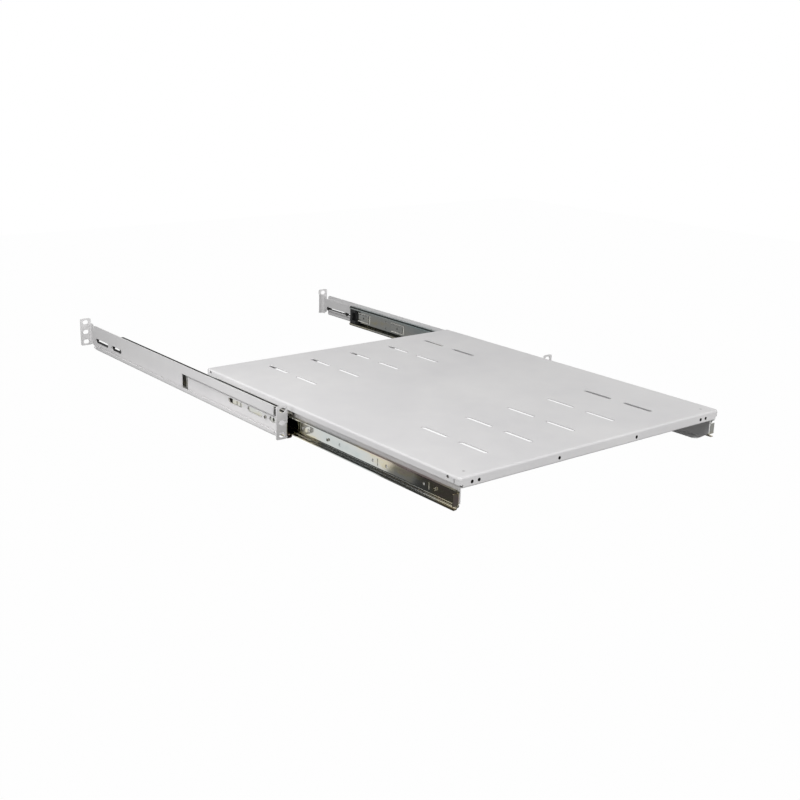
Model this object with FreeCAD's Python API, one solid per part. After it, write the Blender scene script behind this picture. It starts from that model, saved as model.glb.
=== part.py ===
"""Sliding rack shelf, one unit high, on two ball-bearing slides.

Millimetres. +X is to the right seen from the front, +Y runs to the back of the rack, +Z is up.
The origin is the middle of the front ears' hole pattern, on the ears' front faces.
The shelf is shown pulled out, as it stands when something is loaded on it.
Every side piece is drawn for the right hand and mirrored for the left.
"""
import FreeCAD
import Part
import math
import os

# Rack standard: hole pattern and panel width
rack_width = 482.6
ear_hole_edge = 8.75
hole_pitch = 15.875
ear_height = 43.6
ear_slot_length = 9.6
ear_slot_width = 6.8
ear_corner = 2.5
rail_depth = 580.0

# Folded sheet of the side rails
rail_sheet = 1.5
rail_bend = 0.8
ear_width = 16.3
rail_height = 35.9
rail_rise = 3.5
rail_bottom_flange = 5.5
rail_lip = 6.0
rail_end_gap = 24.0
rail_rear_round = 5.0
flange_front = 13.5
flange_front_cut = 4.0
flange_rear_cut = 23.0
band_front = 26.0
band_height = 12.7
joggle = 3.0
seat_length = 252.5
relief_length = 12.5
seat_slot_width = 7.0
seat_slots = ((25.0, 15.0), (56.5, 36.5), (105.5, 36.0))
seat_screw_y = 48.3
web_slot_width = 7.5
web_slot_drop = 2.45
web_slots_from_end = ((98.1, 33.4), (51.5, 44.7))

# Rear bracket that sets the mounting depth
rear_ear_width = 17.8
tongue_clearance = 0.3
tongue_height = 20.5
tongue_rise = 14.0
tongue_root_rise = 19.5
tongue_root_height = 33.0
tongue_step_back = 15.5
tongue_step_run = 6.0
tongue_slot_drop = 2.5
tongue_front_gap = 10.0
depth_travel = 145.0
guide_end_gap = 4.5
guide_pitch = 58.5
guide_shoulder = 3.4
guide_tail = 2.0
guide_head = 6.0
guide_head_height = 1.8
guide_clearance = 0.3
glide_sheet = 0.8
glide_height = 4.2
glide_below_slots = 0.35
glide_above_slots = 1.0
glide_front_post = 5.5
glide_front_lap = 3.5
glide_rear_lap = 5.0
glide_rear_gap = 1.0
glide_round = 0.8

# Ball-bearing slide
slide_sheet = 1.2
slide_bend = 0.6
slide_height = 34.4
slide_thickness = 12.7
slide_centre = -6.0
slide_front = 3.0
slide_end_gap = 83.0
outer_depth = 9.0
outer_lip = 3.1
raceway_bend = 1.4
outer_tabs_from_end = (33.0, 127.5)
outer_tab_length = 33.0
outer_tab_height = 14.0
outer_tab_cut = 1.8
outer_tab_hole = 4.0
outer_tab_lift = 1.6
outer_tab_root = 4.0
outer_tab_bend = 60.0
outer_holes_from_end = 95.7
outer_hole_spread = 12.5
outer_hole_diameter = 3.2
outer_front_hole = 29.0
outer_front_hole_diameter = 5.0
outer_windows = ((108.0, 1.6), (117.5, 1.6), (129.5, 7.0))
outer_window_height = 6.0
inner_web_height = 18.8
inner_flange = 4.1
extension = 313.0
end_tab_height = 14.0
end_tab_reach = 9.0
end_tab_root = 4.0
inner_holes = ((57.7, 3.4), (124.2, 4.4), (149.5, 4.0), (215.0, 3.8), (280.4, 4.6), (293.0, 3.4))
inner_slits = (48.0, 139.7)
inner_slit_width = 1.6
inner_slit_height = 9.0
ball_diameter = 4.0
ball_clearance = 0.25
ball_play = 0.4
ball_end_gap = 12.0
ball_count = 2
cage_sheet = 0.8
cage_setback = 3.0
cage_end_gap = 12.0
cage_gap = 0.8
bumper_length = 15.5
bumper_gap = 3.0
bumper_clearance = 0.4
bumper_round = 3.0
bumper_notch_depth = 9.0
bumper_notch_height = 14.0

# Shelf tray and its side brackets
tray_sheet = 1.2
tray_edge_gap = 6.0
tray_depth = 527.5
tray_overhang = 6.0
tray_lift = 0.95
side_flange = 8.6
front_flange = 13.0
rear_flange = 17.0
rear_flange_inset = 14.0
tray_corner = 4.0
tray_rear_corner = 3.0
tray_edge_round = 2.6
front_return_gap = 0.5
front_return_bend = 1.0
corner_return = 7.7
corner_slit = 1.4
corner_slit_height = 5.2
corner_notch = 5.5
vent_length = 46.4
vent_width = 6.0
vent_columns = 5
vent_pitch = 70.0
vent_row_pitch = 67.5
vent_front_margin = 43.1
vent_rear_margin = 36.9
front_hole_diameter = 4.2
front_collar_diameter = 6.6
front_collar_length = 4.0
front_hole_drop = 7.3
front_hole_shift = -3.8
front_pair_inset = 27.0
front_pair_pitch = 10.0
front_single_place = 65.5
side_hole_diameter = 4.2
side_hole_drop = 4.0
side_hole_front = 19.1
side_hole_rear = 10.6
bracket_sheet = 1.5
bracket_bend = 1.5
bracket_top_flange = 18.0
bracket_bottom_flange = 12.0
bracket_drop = 14.0
bracket_rear_margin = 18.5
bracket_corner = 18.0
bracket_nose_run = 12.0
bracket_nose_rise = 8.5

# Fasteners
screw_diameter = 4.0
screw_head = 7.0
rail_screw_head = 8.4
screw_head_height = 2.0
inner_screw_places = (37.6, 238.4, 421.6)
seat_rivet_y = 203.0
seat_rivet_head_height = 0.5
tray_rivet_head = 3.6
tray_rivet_head_height = 0.6
tray_rivet_diameter = 2.4
tray_rivet_inset = 18.5
tray_rivet_setback = 14.5

# Places that follow from the sizes above
rack_half = rack_width / 2
ear_hole_x = rack_half - ear_hole_edge
seat_in = rack_half - ear_width
seat_out = seat_in + rail_sheet
web_in = seat_in + joggle
web_out = web_in + rail_sheet
slide_top = slide_centre + slide_height / 2
rail_top = slide_top + rail_rise
rail_bottom = rail_top - rail_height
joggle_top = rail_top - band_height
seat_top = joggle_top - joggle
lip_in = web_out + rail_bottom_flange - rail_sheet
rail_length = rail_depth - rail_end_gap
web_slot_z = slide_centre - web_slot_drop
tongue_slot_z = slide_centre - tongue_slot_drop
tongue_slot_width = guide_shoulder + 2 * guide_clearance
guide_rear = rail_length - guide_end_gap
guide_places = (guide_rear - guide_pitch, guide_rear)
tongue_slot_rear = guide_rear + tongue_slot_width / 2
tongue_slot_front = guide_rear - guide_pitch - depth_travel - tongue_slot_width / 2
tongue_front = seat_length + relief_length + tongue_front_gap
tongue_out = web_in - glide_sheet - tongue_clearance
tongue_in = tongue_out - rail_sheet
tongue_top = slide_centre + tongue_rise
tongue_bottom = tongue_top - tongue_height
tongue_root_top = slide_centre + tongue_root_rise
tongue_root_bottom = tongue_root_top - tongue_root_height
rear_web_in = rack_half - rear_ear_width
rear_web_out = rear_web_in + rail_sheet
bracket_out = seat_in - slide_thickness
bracket_in = bracket_out - bracket_sheet
bracket_bottom = slide_centre - bracket_drop
inner_web_out = bracket_out + slide_sheet
outer_web_in = seat_in - slide_sheet
outer_lip_in = seat_in - outer_depth + slide_sheet
race_top = slide_height / 2 - slide_sheet
ball_radius = ball_diameter / 2
ball_height = race_top - ball_clearance - ball_radius
ball_x = outer_lip_in + ball_clearance + ball_radius
shelf_height = ball_height - ball_radius - ball_clearance
shelf_tip = ball_x + ball_radius / 2
riser_x = bracket_out + inner_flange
outer_rear = rail_length - slide_end_gap
outer_length = outer_rear - slide_front
inner_length = outer_length - bumper_length - bumper_gap
cage_length = inner_length - extension - cage_end_gap
ball_pitch = (cage_length - 2 * ball_end_gap) / (ball_count - 1)
ball_pocket = ball_diameter + ball_play
inner_front = slide_front - extension
inner_rear = inner_front + inner_length
tray_half = seat_in - tray_edge_gap
side_flange_bottom = slide_top + tray_lift
tray_top = side_flange_bottom + side_flange
tray_under = tray_top - tray_sheet
tray_front = inner_front - tray_overhang
tray_rear = tray_front + tray_depth
bracket_front = inner_front
bracket_rear = tray_rear - bracket_rear_margin
tray_rivet_x = tray_half - tray_rivet_inset
tray_rivet_y = tray_front + tray_rivet_setback
beyond = 1.0
tolerance = 0.001


def vector(x, y, z):
    return FreeCAD.Vector(x, y, z)


def box(x0, x1, y0, y1, z0, z1):
    return Part.makeBox(x1 - x0, y1 - y0, z1 - z0, vector(x0, y0, z0))


def rounded_face(corners, place):
    """Face inside a closed outline of (a, b, radius) corners; place turns (a, b) into a point."""
    count = len(corners)
    starts = []
    ends = []
    middles = []
    for i, (a, b, radius) in enumerate(corners):
        before = corners[i - 1]
        after = corners[(i + 1) % count]
        back = math.hypot(before[0] - a, before[1] - b)
        ahead = math.hypot(after[0] - a, after[1] - b)
        u = ((before[0] - a) / back, (before[1] - b) / back)
        v = ((after[0] - a) / ahead, (after[1] - b) / ahead)
        half = math.acos(max(-1.0, min(1.0, u[0] * v[0] + u[1] * v[1]))) / 2
        if radius <= 0 or math.pi / 2 - half < 1e-6:
            starts.append((a, b))
            ends.append((a, b))
            middles.append(None)
            continue
        run = radius / math.tan(half)
        reach = radius / math.sin(half) - radius
        side = (u[0] + v[0], u[1] + v[1])
        length = math.hypot(side[0], side[1])
        starts.append((a + u[0] * run, b + u[1] * run))
        ends.append((a + v[0] * run, b + v[1] * run))
        middles.append((a + side[0] / length * reach, b + side[1] / length * reach))
    edges = []
    for i in range(count):
        if middles[i] is not None:
            arc = Part.Arc(place(*starts[i]), place(*middles[i]), place(*ends[i]))
            edges.append(arc.toShape())
        begin = place(*ends[i])
        finish = place(*starts[(i + 1) % count])
        if begin.distanceToPoint(finish) > 1e-6:
            edges.append(Part.makeLine(begin, finish))
    return Part.Face(Part.Wire(edges))


def sheet_corners(path, thickness, bend):
    """Outline of folded sheet that lies to the left of a path along one of its faces."""
    normals = []
    for (a0, b0), (a1, b1) in zip(path, path[1:]):
        length = math.hypot(a1 - a0, b1 - b0)
        normals.append((-(b1 - b0) / length, (a1 - a0) / length))
    near = []
    far = []
    for i, (a, b) in enumerate(path):
        if i == 0 or i == len(path) - 1:
            n = normals[0] if i == 0 else normals[-1]
            near.append((a, b, 0.0))
            far.append((a + n[0] * thickness, b + n[1] * thickness, 0.0))
            continue
        n, m = normals[i - 1], normals[i]
        share = thickness / (1 + n[0] * m[0] + n[1] * m[1])
        left_turn = n[0] * m[1] - n[1] * m[0] > 0
        near.append((a, b, bend + thickness if left_turn else bend))
        corner = (a + (n[0] + m[0]) * share, b + (n[1] + m[1]) * share)
        far.append(corner + (bend if left_turn else bend + thickness,))
    return near + far[::-1]


def along_y(corners, y0, y1):
    """Solid from an outline of (x, z) corners, drawn out from y0 to y1."""
    face = rounded_face(corners, lambda a, b: vector(a, y0, b))
    return face.extrude(vector(0, y1 - y0, 0))


def along_z(corners, z0, z1):
    """Solid from an outline of (x, y) corners, drawn up from z0 to z1."""
    face = rounded_face(corners, lambda a, b: vector(a, b, z0))
    return face.extrude(vector(0, 0, z1 - z0))


def along_x(corners, x0, x1):
    """Solid from an outline of (y, z) corners, drawn out from x0 to x1."""
    face = rounded_face(corners, lambda a, b: vector(x0, a, b))
    return face.extrude(vector(x1 - x0, 0, 0))


def rectangle(a0, a1, b0, b1, radius=0.0):
    return [(a0, b0, radius), (a1, b0, radius), (a1, b1, radius), (a0, b1, radius)]


def slot_face(a0, a1, b, width, place):
    """Face of a slot with round ends from a0 to a1, centred on b."""
    r = width / 2
    near = Part.Arc(place(a0 + r, b + r), place(a0, b), place(a0 + r, b - r)).toShape()
    far = Part.Arc(place(a1 - r, b - r), place(a1, b), place(a1 - r, b + r)).toShape()
    lower = Part.makeLine(place(a0 + r, b - r), place(a1 - r, b - r))
    upper = Part.makeLine(place(a1 - r, b + r), place(a0 + r, b + r))
    return Part.Face(Part.Wire([near, lower, far, upper]))


def slot_through_x(y0, y1, z, width, x0, x1):
    """Cutter for a slot along Y in an upright sheet between x0 and x1."""
    face = slot_face(y0, y1, z, width, lambda a, b: vector(x0 - beyond, a, b))
    return face.extrude(vector(x1 - x0 + 2 * beyond, 0, 0))


def rod_x(x0, x1, y, z, diameter):
    return Part.makeCylinder(diameter / 2, x1 - x0, vector(x0, y, z), vector(1, 0, 0))


def rod_y(y0, y1, x, z, diameter):
    return Part.makeCylinder(diameter / 2, y1 - y0, vector(x, y0, z), vector(0, 1, 0))


def rod_z(z0, z1, x, y, diameter):
    return Part.makeCylinder(diameter / 2, z1 - z0, vector(x, y, z0), vector(0, 0, 1))


def ear_plate(x_in, y0, bend_x, bend_z0, bend_z1):
    """Flat ear with three slots, notched where the fold to the rail takes over."""
    y1 = y0 + rail_sheet
    outline = rectangle(x_in, rack_half, -ear_height / 2, ear_height / 2, ear_corner)
    plate = along_y(outline, y0, y1)
    plate = plate.cut(box(x_in - beyond, bend_x, y0, y1, bend_z0, bend_z1))
    x0 = ear_hole_x - ear_slot_length / 2
    x1 = ear_hole_x + ear_slot_length / 2
    for step in (-1, 0, 1):
        z = step * hole_pitch
        face = slot_face(x0, x1, z, ear_slot_width, lambda a, b: vector(a, y0 - beyond, b))
        plate = plate.cut(face.extrude(vector(0, rail_sheet + 2 * beyond, 0)))
    return plate


def front_rail():
    """Front part of a side rail: ear, seat for the slide, band and flanges, outer web behind."""
    flange_top = rail_bottom + rail_sheet
    lip_top = rail_bottom + rail_lip
    foot = [(lip_in, lip_top), (lip_in, flange_top)]
    head = [(web_out, rail_top)]
    web_path = foot + [(web_out, flange_top)] + head
    band_path = foot + [(seat_out, flange_top), (seat_out, seat_top), (web_out, joggle_top)] + head
    seat_path = foot + [(seat_out, flange_top), (seat_out, seat_top)]
    web = along_y(sheet_corners(web_path, rail_sheet, rail_bend), seat_length, rail_length)
    relief_floor = flange_top + rail_bend
    relief_end = seat_length + relief_length
    relief = box(web_in - beyond, web_out + beyond, seat_length, relief_end, relief_floor, joggle_top)
    web = web.cut(relief)
    band = along_y(sheet_corners(band_path, rail_sheet, rail_bend), band_front, seat_length)
    seat = along_y(sheet_corners(seat_path, rail_sheet, rail_bend), flange_front, band_front)
    fold_end = seat_out + rail_bend + rail_sheet
    fold_path = [(fold_end, rail_sheet), (seat_out, rail_sheet), (seat_out, flange_front)]
    fold = along_z(sheet_corners(fold_path, rail_sheet, rail_bend), relief_floor, seat_top)
    ear = ear_plate(seat_in, 0, fold_end, relief_floor, seat_top)
    rail = web.fuse([band, seat, fold, ear]).removeSplitter()
    lip_out = lip_in + rail_sheet
    clear = lip_out + beyond
    rear_start = rail_length - flange_rear_cut
    rear_cut = [(lip_out, rear_start, 0), (clear, rear_start, 0), (clear, rail_length + beyond, 0),
                (web_out + rail_bend, rail_length + beyond, 0), (web_out + rail_bend, rail_length, 0)]
    front_end = flange_front + flange_front_cut
    front_in = lip_out - flange_front_cut
    front_cut = [(clear, flange_front - beyond, 0), (clear, front_end, 0), (lip_out, front_end, 0),
                 (front_in, flange_front, 0), (front_in, flange_front - beyond, 0)]
    for corner in (rear_cut, front_cut):
        rail = rail.cut(along_z(corner, rail_bottom - beyond, lip_top + beyond))
    for y, length in seat_slots:
        rail = rail.cut(slot_through_x(y, y + length, slide_centre, seat_slot_width, seat_in, seat_out))
    for distance, length in web_slots_from_end:
        y = rail_length - distance
        rail = rail.cut(slot_through_x(y, y + length, web_slot_z, web_slot_width, web_in, web_out))
    for y in (seat_screw_y, seat_rivet_y):
        rail = rail.cut(rod_x(seat_in - beyond, seat_out + beyond, y, slide_centre, screw_diameter))
    for y in guide_places:
        rail = rail.cut(rod_x(web_in - beyond, web_out + beyond, y, tongue_slot_z, guide_tail))
    corner = [edge for edge in rail.Edges
              if edge.BoundBox.YMin > rail_length - tolerance and edge.BoundBox.ZMin > rail_top - tolerance]
    return rail.makeFillet(rail_rear_round, corner)


def glide_strip():
    """Plastic strip behind the web's slots, with a post at each end, that the tongue slides on."""
    front_distance = web_slots_from_end[0][0]
    rear_distance, rear_length = web_slots_from_end[1]
    y1 = rail_length - front_distance + glide_front_lap
    y0 = y1 - glide_front_post
    y2 = rail_length - rear_distance + rear_length - glide_rear_lap
    y3 = rail_length - glide_rear_gap
    bar_top = web_slot_z - glide_below_slots
    bar_bottom = bar_top - glide_height
    post_top = web_slot_z + web_slot_width / 2 + glide_above_slots
    outline = [(y0, bar_bottom), (y3, bar_bottom), (y3, post_top), (y2, post_top),
               (y2, bar_top), (y1, bar_top), (y1, post_top), (y0, post_top)]
    x0 = web_in - glide_sheet
    strip = along_x([(y, z, glide_round) for y, z in outline], x0, web_in)
    for y in guide_places:
        strip = strip.cut(rod_x(x0 - beyond, web_in + beyond, y, tongue_slot_z, tongue_slot_width))
    return strip


def rear_bracket():
    """Rear ear on a slotted tongue that runs between the slide and the rail's outer web."""
    ear_face = rail_depth - rail_sheet
    step_end = rail_depth - tongue_step_back
    fold_end = rear_web_out + rail_bend + rail_sheet
    path = [(tongue_out, tongue_front), (tongue_out, step_end), (rear_web_out, step_end + tongue_step_run),
            (rear_web_out, ear_face), (fold_end, ear_face)]
    tongue = along_z(sheet_corners(path, rail_sheet, rail_bend), tongue_root_bottom, tongue_root_top)
    x0 = tongue_in - beyond
    x1 = tongue_out + beyond
    root = step_end - rail_bend
    for z0, z1 in ((tongue_root_bottom - beyond, tongue_bottom), (tongue_top, tongue_root_top + beyond)):
        tongue = tongue.cut(box(x0, x1, tongue_front - beyond, root, z0, z1))
    ear = ear_plate(rear_web_in, ear_face, fold_end, tongue_root_bottom, tongue_root_top)
    bracket = tongue.fuse(ear).removeSplitter()
    slot = slot_through_x(tongue_slot_front, tongue_slot_rear, tongue_slot_z, tongue_slot_width,
                          tongue_in, tongue_out)
    return bracket.cut(slot)


def guide_rivets():
    """Shouldered rivets in the rail's web that let the tongue run along its slot."""
    solids = []
    head_out = tongue_in - tongue_clearance
    for y in guide_places:
        tail = rod_x(web_in, web_out, y, tongue_slot_z, guide_tail)
        shoulder = rod_x(head_out, web_in, y, tongue_slot_z, guide_shoulder)
        head = rod_x(head_out - guide_head_height, head_out, y, tongue_slot_z, guide_head)
        solids.append(tail.fuse([shoulder, head]).removeSplitter())
    return Part.makeCompound(solids)


def slide_outer():
    """Outer slide member: channel with rolled raceways, fixed to the rail's seat."""
    c = slide_centre
    lip = race_top - outer_lip
    path = [(outer_lip_in, c + lip), (outer_lip_in, c + race_top), (outer_web_in, c + race_top),
            (outer_web_in, c - race_top), (outer_lip_in, c - race_top), (outer_lip_in, c - lip)]
    member = along_y(sheet_corners(path, slide_sheet, raceway_bend), slide_front, outer_rear)
    x0 = outer_web_in - beyond
    x1 = seat_in + beyond
    for distance in outer_tabs_from_end:
        window, tab, hole = lanced_tab(outer_rear - distance)
        member = member.cut(window).fuse(tab).cut(hole).removeSplitter()
    for side in (-1, 1):
        z = c + side * outer_hole_spread / 2
        member = member.cut(rod_x(x0, x1, outer_rear - outer_holes_from_end, z, outer_hole_diameter))
    member = member.cut(rod_x(x0, x1, slide_front + outer_front_hole, c, outer_front_hole_diameter))
    window_bottom = c - outer_window_height / 2
    for place, length in outer_windows:
        y = slide_front + place
        member = member.cut(box(x0, x1, y, y + length, window_bottom, window_bottom + outer_window_height))
    for y in (seat_screw_y, seat_rivet_y):
        member = member.cut(rod_x(x0, x1, y, c, screw_diameter))
    return member


def lanced_tab(y):
    """Window, springy tab and tab hole for the web of a slide member; the tab leans in from its root."""
    y0 = y - outer_tab_length / 2
    y1 = y + outer_tab_length / 2
    z0 = slide_centre - outer_tab_height / 2
    z1 = slide_centre + outer_tab_height / 2
    x0 = outer_web_in - beyond
    x1 = seat_in + beyond
    window = box(x0, x1, y0, y1, z0, z1)
    path = [(outer_web_in, y1 + outer_tab_root), (outer_web_in, y1),
            (outer_web_in - outer_tab_lift, y0 + outer_tab_cut)]
    outline = sheet_corners(path, slide_sheet, outer_tab_bend)
    tab = along_z(outline, z0 + outer_tab_cut, z1 - outer_tab_cut)
    hole = rod_x(x0 - outer_tab_lift, x1, y, slide_centre, outer_tab_hole)
    return window, tab, hole


def slide_inner():
    """Inner slide member: channel with ball shelves and a folded end tab, fixed to the bracket."""
    c = slide_centre
    web = inner_web_height / 2 - slide_sheet
    race = shelf_height - slide_sheet
    path = [(shelf_tip, c - race), (riser_x, c - race), (riser_x, c - web), (inner_web_out, c - web),
            (inner_web_out, c + web), (riser_x, c + web), (riser_x, c + race), (shelf_tip, c + race)]
    member = along_y(sheet_corners(path, slide_sheet, slide_bend), inner_front, inner_rear)
    fold = inner_front + slide_sheet
    z0 = c - end_tab_height / 2
    z1 = c + end_tab_height / 2
    root = fold + end_tab_root
    tab_path = [(bracket_out + end_tab_reach, fold), (inner_web_out, fold), (inner_web_out, root)]
    tab = along_z(sheet_corners(tab_path, slide_sheet, slide_bend), z0, z1)
    x0 = bracket_out - beyond
    x1 = inner_web_out + beyond
    nose = box(x0, shelf_tip + beyond, inner_front, root, z0, z1)
    member = member.cut(nose).fuse(tab).removeSplitter()
    for offset, diameter in inner_holes:
        member = member.cut(rod_x(x0, x1, inner_front + offset, c, diameter))
    for offset in inner_slits:
        y = inner_front + offset
        slit = box(x0, x1, y, y + inner_slit_width, c - inner_slit_height / 2, c + inner_slit_height / 2)
        member = member.cut(slit)
    for offset in inner_screw_places:
        member = member.cut(rod_x(x0, x1, inner_front + offset, c, screw_diameter))
    return member


def ball_places():
    """Centres of the balls of one slide, in two rows."""
    middle = slide_front + cage_setback + cage_length / 2
    first = middle - ball_pitch * (ball_count - 1) / 2
    rows = (slide_centre - ball_height, slide_centre + ball_height)
    return [(first + i * ball_pitch, z) for z in rows for i in range(ball_count)]


def ball_cage():
    """Thin channel that spaces the balls, running half as far as the shelf."""
    c = slide_centre
    web = outer_web_in - cage_gap - cage_sheet
    tip = outer_lip_in + ball_clearance * 2
    inside = ball_height - cage_sheet / 2
    path = [(tip, c + inside), (web, c + inside), (web, c - inside), (tip, c - inside)]
    y0 = slide_front + cage_setback
    cage = along_y(sheet_corners(path, cage_sheet, slide_bend), y0, y0 + cage_length)
    for y, z in ball_places():
        cage = cage.cut(rod_z(z - ball_radius, z + ball_radius, ball_x, y, ball_pocket))
    return cage


def cage_balls():
    return Part.makeCompound([Part.makeSphere(ball_radius, vector(ball_x, y, z)) for y, z in ball_places()])


def slide_bumper():
    """Moulded stop in the back end of the outer member."""
    x0 = outer_lip_in + bumper_clearance
    corners = rectangle(x0, outer_web_in, slide_centre - race_top, slide_centre + race_top, bumper_round)
    bumper = along_y(corners, outer_rear - bumper_length, outer_rear)
    notch_front = outer_rear - bumper_length
    notch = box(x0 - beyond, outer_web_in - slide_sheet, notch_front, notch_front + bumper_notch_depth,
                slide_centre - bumper_notch_height / 2, slide_centre + bumper_notch_height / 2)
    return bumper.cut(notch)


def rail_screw():
    """Pan-head screw from outside, through the seat into the outer member."""
    shank = rod_x(outer_web_in, seat_out, seat_screw_y, slide_centre, screw_diameter)
    head = rod_x(seat_out, seat_out + screw_head_height, seat_screw_y, slide_centre, rail_screw_head)
    return shank.fuse(head).removeSplitter()


def seat_rivet():
    """Flat rivet inside the outer member, flush with the outside of the seat."""
    shank = rod_x(outer_web_in, seat_out, seat_rivet_y, slide_centre, screw_diameter)
    head = rod_x(outer_web_in - seat_rivet_head_height, outer_web_in, seat_rivet_y, slide_centre, screw_head)
    return shank.fuse(head).removeSplitter()


def shelf_screws():
    """Pan-head screws that hold the inner member on the bracket."""
    solids = []
    for offset in inner_screw_places:
        y = inner_front + offset
        shank = rod_x(bracket_in, inner_web_out, y, slide_centre, screw_diameter)
        head = rod_x(inner_web_out, inner_web_out + screw_head_height, y, slide_centre, screw_head)
        solids.append(shank.fuse(head).removeSplitter())
    return Part.makeCompound(solids)


def side_bracket():
    """Channel under the tray's edge that hangs on the inner slide member."""
    foot_in = bracket_in - bracket_bottom_flange
    foot_top = bracket_bottom + bracket_sheet
    head_under = tray_under - bracket_sheet
    path = [(bracket_out - bracket_top_flange, head_under), (bracket_in, head_under), (bracket_in, foot_top),
            (foot_in + bracket_sheet, foot_top)]
    bracket = along_y(sheet_corners(path, bracket_sheet, bracket_bend)[::-1], bracket_front, bracket_rear)
    clear = bracket_out + beyond
    for offset in inner_screw_places:
        y = inner_front + offset
        bracket = bracket.cut(rod_x(bracket_in - beyond, clear, y, slide_centre, screw_diameter))
    front = bracket_front - beyond
    corner = [(clear, front, 0), (foot_in, front, 0), (foot_in, bracket_front + bracket_corner, 0),
              (clear, bracket_front, 0)]
    bracket = bracket.cut(along_z(corner, bracket_bottom - beyond, foot_top + bracket_bend))
    slope = bracket_nose_rise / bracket_nose_run
    below = bracket_bottom - beyond
    nose = [(front, below, 0), (bracket_front + bracket_nose_run + beyond / slope, below, 0),
            (front, bracket_bottom + bracket_nose_rise + beyond * slope, 0)]
    bracket = bracket.cut(along_x(nose, foot_in - beyond, clear))
    return bracket.cut(rod_z(head_under, tray_under, tray_rivet_x, tray_rivet_y, tray_rivet_diameter))


def tray_plan(inset):
    """Plan outline of the tray, drawn in by an inset, with round front corners."""
    half = tray_half - inset
    front = tray_corner - inset
    rear = tray_rear_corner - inset
    return [(-half, tray_front + inset, front), (half, tray_front + inset, front),
            (half, tray_rear - inset, rear), (-half, tray_rear - inset, rear)]


def shelf_tray():
    """Folded tray: vented top, low side flanges, deeper front and back flanges."""
    depth = side_flange
    body = along_z(tray_plan(0), tray_top - depth, tray_top)
    rim = [edge for edge in body.Edges if edge.BoundBox.ZMin > tray_top - tolerance]
    body = body.makeFillet(tray_edge_round, rim)
    hollow = along_z(tray_plan(tray_sheet), tray_top - depth - beyond, tray_under)
    rim = [edge for edge in hollow.Edges if edge.BoundBox.ZMin > tray_under - tolerance]
    body = body.cut(hollow.makeFillet(tray_edge_round - tray_sheet, rim))
    front_half = tray_half - corner_notch
    front_inside = tray_front + tray_sheet
    front_bottom = tray_top - front_flange
    front_path = [(tray_front, side_flange_bottom), (tray_front, front_bottom),
                  (bracket_front - front_return_gap, front_bottom)]
    front_wall = along_x(sheet_corners(front_path, tray_sheet, front_return_bend), -front_half, front_half)
    rear_half = tray_half - rear_flange_inset
    rear_wall = rectangle(-rear_half, rear_half, tray_top - rear_flange, side_flange_bottom)
    rear_wall = along_y(rear_wall, tray_rear - tray_sheet, tray_rear)
    tray = body.fuse([front_wall, rear_wall]).removeSplitter()
    for side in (-1, 1):
        x0 = side * (tray_half - tray_sheet / 2) - tray_sheet
        x1 = x0 + 2 * tray_sheet
        y0 = tray_front + corner_return
        slit_top = side_flange_bottom + corner_slit_height
        tray = tray.cut(box(x0, x1, y0, y0 + corner_slit, side_flange_bottom - beyond, slit_top))
        for y in (tray_front + side_hole_front, tray_rear - side_hole_rear):
            tray = tray.cut(rod_x(x0, x1, y, tray_top - side_hole_drop, side_hole_diameter))
        x = side * tray_rivet_x
        tray = tray.cut(rod_z(tray_under - beyond, tray_top, x, tray_rivet_y, tray_rivet_diameter))
        tray = tray.cut(tray_rivet_recess(x))
    collar_end = front_inside + front_collar_length
    collars = front_rods(front_collar_diameter, front_inside, collar_end)
    holes = front_rods(front_hole_diameter, tray_front - beyond, collar_end + beyond)
    return tray.cut(vent_slots()).fuse(collars).cut(holes).removeSplitter()


def tray_rivet_recess(x):
    """Countersink for a flush rivet in the tray's top."""
    return Part.makeCone(tray_rivet_diameter / 2, tray_rivet_head / 2, tray_rivet_head_height,
                         vector(x, tray_rivet_y, tray_top - tray_rivet_head_height))


def vent_slots():
    """Long vent slots, in two rows near the front and two near the back."""
    first = tray_front + vent_front_margin
    last = tray_rear - vent_rear_margin - vent_length
    cuts = []
    for y in (first, first + vent_row_pitch, last - vent_row_pitch, last):
        for column in range(vent_columns):
            x = (column - (vent_columns - 1) / 2) * vent_pitch
            face = slot_face(y, y + vent_length, x, vent_width,
                             lambda a, b: vector(b, a, tray_under - beyond))
            cuts.append(face.extrude(vector(0, 0, tray_sheet + 2 * beyond)))
    return Part.makeCompound(cuts)


def front_rods(diameter, y0, y1):
    """One rod at each hole of the front flange: a pair at each end and two between."""
    places = [-front_single_place, front_single_place]
    for side in (-1, 1):
        middle = side * (tray_half - front_pair_inset)
        places += [middle - front_pair_pitch / 2, middle + front_pair_pitch / 2]
    z = tray_top - front_hole_drop
    return [rod_y(y0, y1, x + front_hole_shift, z, diameter) for x in places]


def tray_rivets():
    """Flush rivets through the tray's front corners into the brackets."""
    solids = []
    for side in (-1, 1):
        x = side * tray_rivet_x
        shank = rod_z(tray_under - bracket_sheet, tray_top, x, tray_rivet_y, tray_rivet_diameter)
        solids.append(shank.fuse(tray_rivet_recess(x)).removeSplitter())
    return Part.makeCompound(solids)


def mirrored(shape):
    return shape.mirror(vector(0, 0, 0), vector(1, 0, 0))


paired = {
    "front_rail": front_rail(),
    "rear_bracket": rear_bracket(),
    "guide_rivets": guide_rivets(),
    "glide_strip": glide_strip(),
    "slide_outer": slide_outer(),
    "slide_inner": slide_inner(),
    "ball_cage": ball_cage(),
    "cage_balls": cage_balls(),
    "slide_bumper": slide_bumper(),
    "rail_screw": rail_screw(),
    "seat_rivet": seat_rivet(),
    "shelf_screws": shelf_screws(),
    "side_bracket": side_bracket(),
}
nodes = {"shelf_tray": shelf_tray(), "tray_rivets": tray_rivets()}
for name, shape in paired.items():
    nodes[name + "_right"] = shape
    nodes[name + "_left"] = mirrored(shape)

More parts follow.
